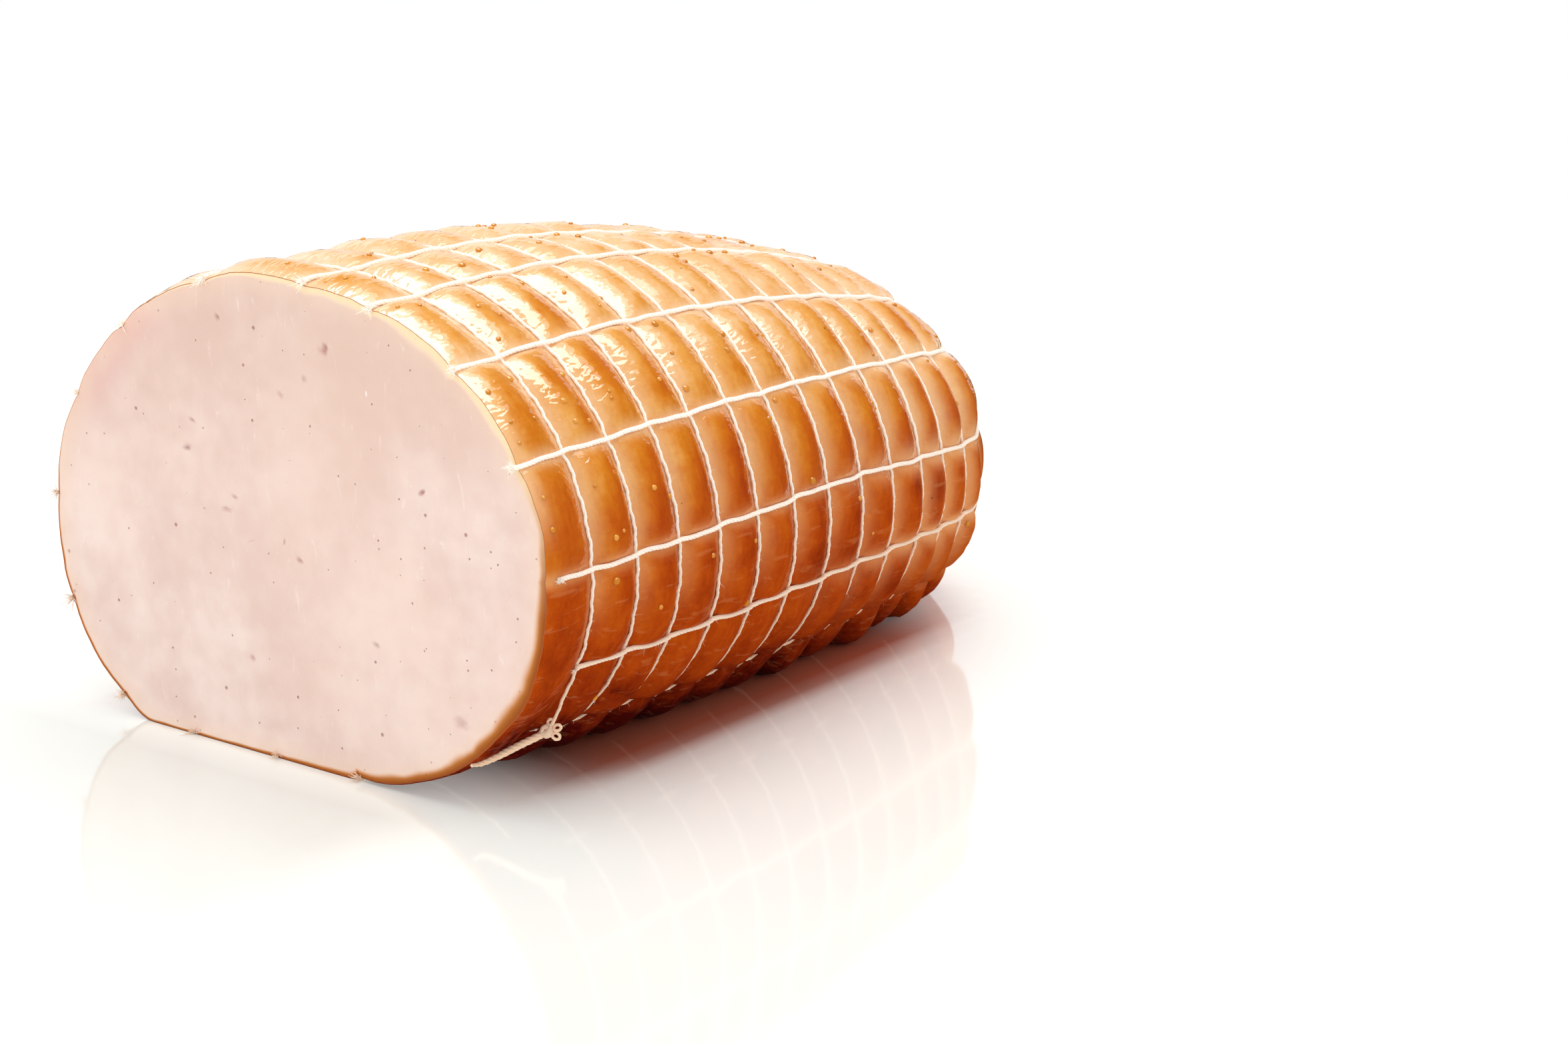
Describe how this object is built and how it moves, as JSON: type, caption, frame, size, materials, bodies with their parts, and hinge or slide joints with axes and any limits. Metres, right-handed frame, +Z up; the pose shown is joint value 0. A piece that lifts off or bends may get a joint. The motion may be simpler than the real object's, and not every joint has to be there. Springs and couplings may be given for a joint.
{
  "type": "netted roast turkey breast",
  "caption": "Rolled and smoked roast turkey breast in a string net, swelling in pillows between the strings, with a flat sliced end and a tied end.",
  "frame": {"origin": "middle of the foot of the whole roast, on the surface that it lies on", "axes": "+Z up, +Y along the roast from the cut end to the tied end, +X to the right as the cut end is seen"},
  "size_m": [0.1868, 0.2786, 0.1375],
  "materials": {
    "meat": "smoked golden-brown crust, moist and glossy, over pale pink sliced meat; plastic stands in for cooked poultry",
    "twine": "cream cotton butcher's twine, twisted and knitted into a net"
  },
  "bodies": {
    "root": {"roast": "meat", "net": "twine", "loose_string": "twine", "end_tuft": "twine"}
  },
  "joints": []
}
